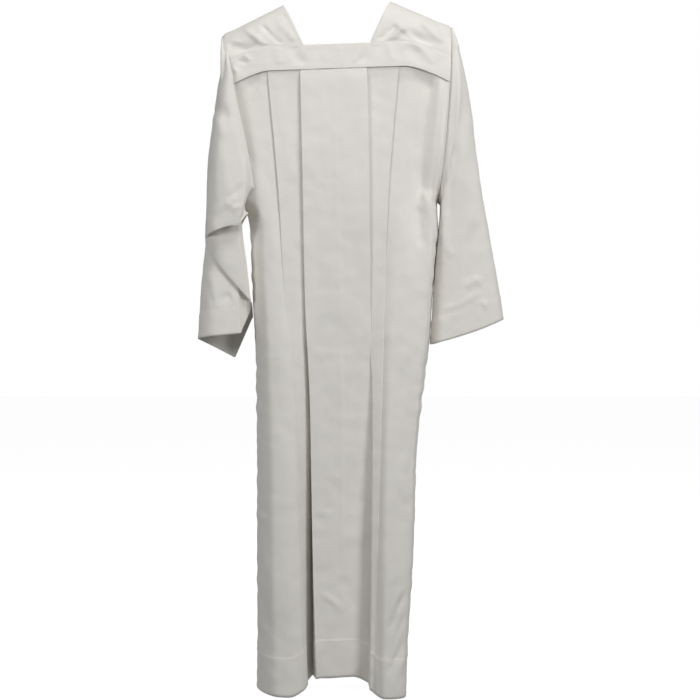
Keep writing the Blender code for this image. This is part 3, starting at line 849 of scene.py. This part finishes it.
def right_sleeve_grid():
    table = np.array([np.concatenate([*row[:5], [row[5]]]) for row in RIGHT_SLEEVE], float)
    table[:, :15] /= 1000
    steps = np.linspace(0, len(table) - 1, RINGS_PER_ROW * (len(table) - 1) + 1)
    rings = np.array([folded_ring(row) for row in along(range(len(table)), table, steps)])
    rings = softened(rings, 3, ring=True)
    # each column starts from the armhole, as far round it as it is round its own ring
    first = rings[0]
    across = np.linalg.norm(np.diff(np.vstack([first, first[:1]]), axis=0), axis=1)
    angles = 2 * math.pi * np.concatenate([[0], np.cumsum(across)[:-1]]) / across.sum()
    start = armhole_ring(-1, angles)
    raised = lifted(start, -1, angles)
    turned = first + np.array([0.004, 0.006, 0.0]) * eased(np.sin(angles) * 2)[:, None]
    rows = np.array([start, raised, turned, first])
    opening = along(OPENING_PLACES, rows, np.linspace(0, 1, OPENING_RINGS))
    return np.concatenate([opening[:-1], rings])


SLEEVE_CREASES = {
    "right_sleeve": (
        (((-270, -160), (-238, -194), (-216, -230)), 13, -6.5),
        (((-262, -200), (-238, -226), (-222, -270)), 9, 2.6),
        (((-238, -250), (-222, -330), (-212, -400)), 11, 2.6),
        (((-196, -376), (-222, -396), (-256, -416)), 5, 2.2),
        (((-184, -352), (-200, -372), (-224, -390)), 6, -2.4),
        (((-262, -300), (-250, -370), (-246, -440)), 12, -2.4),
        (((-226, -392), (-204, -404), (-186, -398)), 5, 2.6),
        (((-246, -120), (-238, -180), (-230, -220)), 8, 2.6),
        (((-262, -590), (-236, -585), (-212, -575)), 9, -2.6),
        (((-270, -520), (-250, -560), (-244, -610)), 9, 2.0),
    ),
    "left_sleeve": (
        (((236, -80), (240, -70), (250, -66)), 5, 4.0),
        (((246, -130), (244, -210), (248, -300)), 8, 2.6),
        (((262, -200), (258, -300), (262, -380)), 12, 2.8),
        (((240, -260), (232, -350), (228, -430)), 9, -3.6),
        (((290, -420), (270, -480), (262, -560)), 12, -3.0),
        (((262, -560), (282, -544), (300, -552)), 8, 3.2),
        (((300, -566), (250, -596), (216, -606)), 6, 2.6),
        (((310, -604), (296, -590), (278, -596)), 4, 2.2),
        (((216, -440), (226, -480), (240, -500)), 8, 1.6),
    ),
}


def sleeve(name, points, seed, material):
    """A sleeve's shell from its rings, with its creases and the doubled cloth of its cuff."""
    points = hang(points)
    normals = surface_normals(points, ring=True)
    ring = points[len(points) // 2]
    outward = (ring - ring.mean(axis=0))[:, :2]
    if (normals[len(points) // 2, :, :2] * outward).sum() < 0:
        points = points[:, ::-1]
        normals = surface_normals(points, ring=True)
    x, y, z = points[..., 0], points[..., 1], points[..., 2]
    front = eased(-y / 0.03)
    creases = SLEEVE_CREASES[name]
    out = crease_field(x, z, creases) * front
    behind = crease_field(x - BACK_CREASES_SHIFT[0], z - BACK_CREASES_SHIFT[1], creases)
    out += behind * BACK_CREASES_SHARE * (1 - front)
    out += waves(points, SLEEVE_WAVES, seed)
    reach = run_up(points)
    out *= eased((reach[0] - reach) / BELOW_SEAM)
    out += HEM_STEP * eased((CUFF_DEPTH - reach) / CUFF_EDGE + 0.5)
    points = points + normals * out[:, :, None]
    return shell(name, points, material, ring=True), points


# ---------------------------------------------------------------- stitching
STITCH_LENGTH = 0.0024
STITCH_GAP = 0.0009
STITCH_RADIUS = 0.00028
STITCH_SIDES = 4
STITCH_PROFILE = ((0.0, 0.4), (0.25, 1.0), (0.75, 1.0), (1.0, 0.4))  # share along, size


def line_above(values, reach, distance):
    """A grid's values where its reach, the way along the cloth to its last row, is distance."""
    line = []
    for k in range(values.shape[1]):
        column = reach[::-1, k]
        line.append([np.interp(distance, column, values[::-1, k, axis]) for axis in range(3)])
    return np.array(line)


def stitches(name, path, normals, material):
    """Separate short threads lying along a path, joined in one mesh."""
    lengths = np.linalg.norm(np.diff(path, axis=0), axis=1)
    travelled = np.concatenate([[0], np.cumsum(lengths)])
    starts = np.arange(STITCH_GAP, travelled[-1] - STITCH_LENGTH, STITCH_LENGTH + STITCH_GAP)

    def read(values, place):
        return np.stack([np.interp(place, travelled, values[:, k]) for k in range(3)], axis=-1)

    ahead = read(path, starts + STITCH_LENGTH) - read(path, starts)
    ahead /= np.maximum(np.linalg.norm(ahead, axis=1), 1e-9)[:, None]
    up = read(normals, starts + STITCH_LENGTH / 2)
    across = np.cross(ahead, up)
    across /= np.maximum(np.linalg.norm(across, axis=1), 1e-9)[:, None]
    rings = []
    for share, size in STITCH_PROFILE:
        centre = read(path, starts + share * STITCH_LENGTH) + up * STITCH_RADIUS * (2 * size - 1)
        for turn in np.linspace(0, 2 * math.pi, STITCH_SIDES, endpoint=False):
            spoke = math.cos(turn) * across + math.sin(turn) * up
            rings.append(centre + STITCH_RADIUS * size * spoke)
    vertices = np.stack(rings, axis=1).reshape(-1, 3)
    pattern = []
    for ring in range(len(STITCH_PROFILE) - 1):
        for k in range(STITCH_SIDES):
            a = ring * STITCH_SIDES + k
            b = ring * STITCH_SIDES + (k + 1) % STITCH_SIDES
            pattern.append((a, b, b + STITCH_SIDES, a + STITCH_SIDES))
    last = (len(STITCH_PROFILE) - 1) * STITCH_SIDES
    pattern.append(tuple(range(STITCH_SIDES))[::-1])
    pattern.append(tuple(range(last, last + STITCH_SIDES)))
    each = len(STITCH_PROFILE) * STITCH_SIDES
    faces = []
    for first in range(0, len(vertices), each):
        faces += [tuple(first + k for k in face) for face in pattern]
    return mesh_object(name, vertices, faces, material)


def stitched_line(name, points, distance, material):
    """Stitching at a distance from the last row of a grid, on the side that faces out."""
    reach = run_up(points)
    normals = surface_normals(points)
    path = line_above(points, reach, distance)
    up = line_above(normals, reach, distance)
    up /= np.linalg.norm(up, axis=1)[:, None]
    return stitches(name, path + up * CLOTH / 2, up, material)


# ---------------------------------------------------------------- materials
WEAVE_PITCH = 0.00055


def cloth_material():
    """White polyester and cotton, plainly woven, with faint painted shade of small wrinkles mottling
    its colour.
    """
    material = bpy.data.materials.new("white_cloth")
    material.use_nodes = True
    nodes = material.node_tree.nodes
    links = material.node_tree.links
    shader = nodes["Principled BSDF"]
    shader.inputs["Roughness"].default_value = 0.78
    shader.inputs["Sheen Weight"].default_value = 0.25
    shader.inputs["Sheen Roughness"].default_value = 0.5
    shader.inputs["Specular IOR Level"].default_value = 0.25
    places = nodes.new("ShaderNodeTexCoord")
    # painted shade: a faint noise mottle in the base colour stands in for the shading of fine
    # wrinkles
    wrinkle_shade = nodes.new("ShaderNodeTexNoise")
    wrinkle_shade.inputs["Scale"].default_value = 26
    wrinkle_shade.inputs["Detail"].default_value = 4
    wrinkle_shade_ramp = nodes.new("ShaderNodeValToRGB")
    wrinkle_shade_ramp.color_ramp.elements[0].position = 0.3
    wrinkle_shade_ramp.color_ramp.elements[0].color = (0.80, 0.776, 0.728, 1)
    wrinkle_shade_ramp.color_ramp.elements[1].position = 0.7
    wrinkle_shade_ramp.color_ramp.elements[1].color = (0.825, 0.802, 0.752, 1)
    links.new(places.outputs["Object"], wrinkle_shade.inputs["Vector"])
    links.new(wrinkle_shade.outputs["Fac"], wrinkle_shade_ramp.inputs["Fac"])
    links.new(wrinkle_shade_ramp.outputs["Color"], shader.inputs["Base Color"])
    crumple = nodes.new("ShaderNodeTexNoise")
    crumple.inputs["Scale"].default_value = 38
    crumple.inputs["Detail"].default_value = 5
    crumple.inputs["Distortion"].default_value = 0.6
    links.new(places.outputs["Object"], crumple.inputs["Vector"])
    weave = weave_height(nodes, links, places)
    coarse = nodes.new("ShaderNodeBump")
    coarse.inputs["Strength"].default_value = 0.35
    coarse.inputs["Distance"].default_value = 0.0016
    links.new(crumple.outputs["Fac"], coarse.inputs["Height"])
    fine = nodes.new("ShaderNodeBump")
    fine.inputs["Strength"].default_value = 0.25
    fine.inputs["Distance"].default_value = 0.0001
    links.new(weave, fine.inputs["Height"])
    links.new(coarse.outputs["Normal"], fine.inputs["Normal"])
    links.new(fine.outputs["Normal"], shader.inputs["Normal"])
    return material


def weave_height(nodes, links, places):
    """Warp and weft as two crossed waves."""
    waves = []
    for direction in ((1.0, 1.0, 0.0), (0.0, 0.0, 1.0)):
        turn = nodes.new("ShaderNodeVectorMath")
        turn.operation = "DOT_PRODUCT"
        turn.inputs[1].default_value = direction
        links.new(places.outputs["Object"], turn.inputs[0])
        wave = nodes.new("ShaderNodeMath")
        wave.operation = "MULTIPLY"
        wave.inputs[1].default_value = 2 * math.pi / WEAVE_PITCH
        links.new(turn.outputs["Value"], wave.inputs[0])
        sine = nodes.new("ShaderNodeMath")
        sine.operation = "SINE"
        links.new(wave.outputs[0], sine.inputs[0])
        waves.append(sine)
    crossed = nodes.new("ShaderNodeMath")
    crossed.operation = "MULTIPLY"
    links.new(waves[0].outputs[0], crossed.inputs[0])
    links.new(waves[1].outputs[0], crossed.inputs[1])
    return crossed.outputs[0]


def plain_material(name, colour, roughness):
    material = bpy.data.materials.new(name)
    material.use_nodes = True
    shader = material.node_tree.nodes["Principled BSDF"]
    shader.inputs["Base Color"].default_value = (*colour, 1)
    shader.inputs["Roughness"].default_value = roughness
    return material


# ---------------------------------------------------------------- camera, light and floor
CAMERA_LENS = 54.4         # millimetres
CAMERA_PLACE = (0.027, -2.2, -0.688)
ROOM_LIGHT = 0.16          # the white room's light on the alb; seen directly, the room is at 1
# Each light: name, place, the point it faces, width and height, watts.
LIGHTS = (
    ("overhead", (0.5, -1.2, 1.6), (0, 0, -0.55), (0.9, 0.5), 18),
    ("right_key", (2.3, -2.4, 0.5), (0, 0, -0.75), (1.2, 1.0), 45),
    ("left_key", (-2.3, -2.4, 0.5), (0, 0, -0.70), (1.2, 1.0), 34),
    ("rear_fill", (0.9, 2.6, 0.3), (0, 0, -0.7), (1.6, 1.2), 26),
)
FLOOR_HALF_WIDTH = 14.0
FLOOR_GAP = 0.004          # below the hem


def aim(obj, target):
    obj.rotation_euler = (Vector(target) - obj.location).to_track_quat("-Z", "Y").to_euler()


def area_light(name, place, target, size, energy):
    data = bpy.data.lights.new(name, "AREA")
    data.shape = "RECTANGLE"
    data.size, data.size_y = size
    data.energy = energy
    light = bpy.data.objects.new(name, data)
    light.location = place
    bpy.context.scene.collection.objects.link(light)
    aim(light, target)


def studio():
    scene = bpy.context.scene
    data = bpy.data.cameras.new("camera")
    data.lens = CAMERA_LENS
    data.sensor_width = 36
    camera = bpy.data.objects.new("camera", data)
    camera.location = CAMERA_PLACE
    camera.rotation_euler = (math.pi / 2, 0, 0)
    scene.collection.objects.link(camera)
    scene.camera = camera
    scene.view_settings.view_transform = "Standard"
    world = bpy.data.worlds.new("soft_room")
    world.use_nodes = True
    nodes = world.node_tree.nodes
    links = world.node_tree.links
    background = nodes["Background"]
    background.inputs["Color"].default_value = (1, 1, 1, 1)
    strength = nodes.new("ShaderNodeMapRange")
    path = nodes.new("ShaderNodeLightPath")
    strength.inputs["To Min"].default_value = ROOM_LIGHT
    strength.inputs["To Max"].default_value = 1.0
    links.new(path.outputs["Is Camera Ray"], strength.inputs["Value"])
    links.new(strength.outputs["Result"], background.inputs["Strength"])
    scene.world = world
    for light in LIGHTS:
        area_light(*light)
    floor_material = plain_material("pale_floor", (0.25, 0.25, 0.245), 0.9)
    shader = floor_material.node_tree.nodes["Principled BSDF"]
    shader.inputs["Emission Color"].default_value = (1, 1, 1, 1)
    shader.inputs["Emission Strength"].default_value = 0.93
    floor_z = cad_box[0][2] - FLOOR_GAP
    signs = ((-1, -1), (1, -1), (1, 1), (-1, 1))
    corners = np.array([(FLOOR_HALF_WIDTH * x, FLOOR_HALF_WIDTH * y, floor_z) for x, y in signs])
    floor = mesh_object("floor", corners, np.array([(0, 1, 2, 3)]), floor_material)
    floor.visible_diffuse = False


# ---------------------------------------------------------------- the alb
# Stitched lines: how far each lies from the piece's last edge, in metres.
STITCHED = {
    "front_panel": HEM_DEPTH - 0.002,
    "back_panel": HEM_DEPTH - 0.002,
    "front_band": 0.0045,
    "back_band": 0.0045,
    "right_sleeve": CUFF_DEPTH - 0.003,
    "left_sleeve": CUFF_DEPTH - 0.003,
}


def build_pieces(cloth):
    """Each frame piece's shell, and the grid of points that it was made from."""
    right_folds, left_folds = RIGHT_FRONT_FOLDS, LEFT_FRONT_FOLDS
    front = panel("front", FRONT_PLEATS, right_folds, left_folds, 1, FRONT_CREASES, 3.0, cloth)
    right_folds, left_folds = RIGHT_BACK_FOLDS, LEFT_BACK_FOLDS
    back = panel("back", BACK_PLEATS, right_folds, left_folds, -1, BACK_CREASES, 13.0, cloth)
    return {
        "front_panel": front,
        "back_panel": back,
        "front_band": band("front_band", 1, cloth),
        "back_band": band("back_band", -1, cloth),
        "right_shoulder": shoulder("right_shoulder", -1, cloth),
        "left_shoulder": shoulder("left_shoulder", 1, cloth),
        "right_sleeve": sleeve("right_sleeve", right_sleeve_grid(), 41.0, cloth),
        "left_sleeve": sleeve("left_sleeve", left_sleeve_grid(), 47.0, cloth),
    }


def main():
    cloth = cloth_material()
    thread = plain_material("white_thread", (0.76, 0.74, 0.70), 0.6)
    for node, (obj, points) in build_pieces(cloth).items():
        obj.name = node + "_cloth"
        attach(obj, "root")
        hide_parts(node)
        if node in STITCHED:
            line = stitched_line(node + "_stitches", points, STITCHED[node], thread)
            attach(line, "root")
    studio()


main()
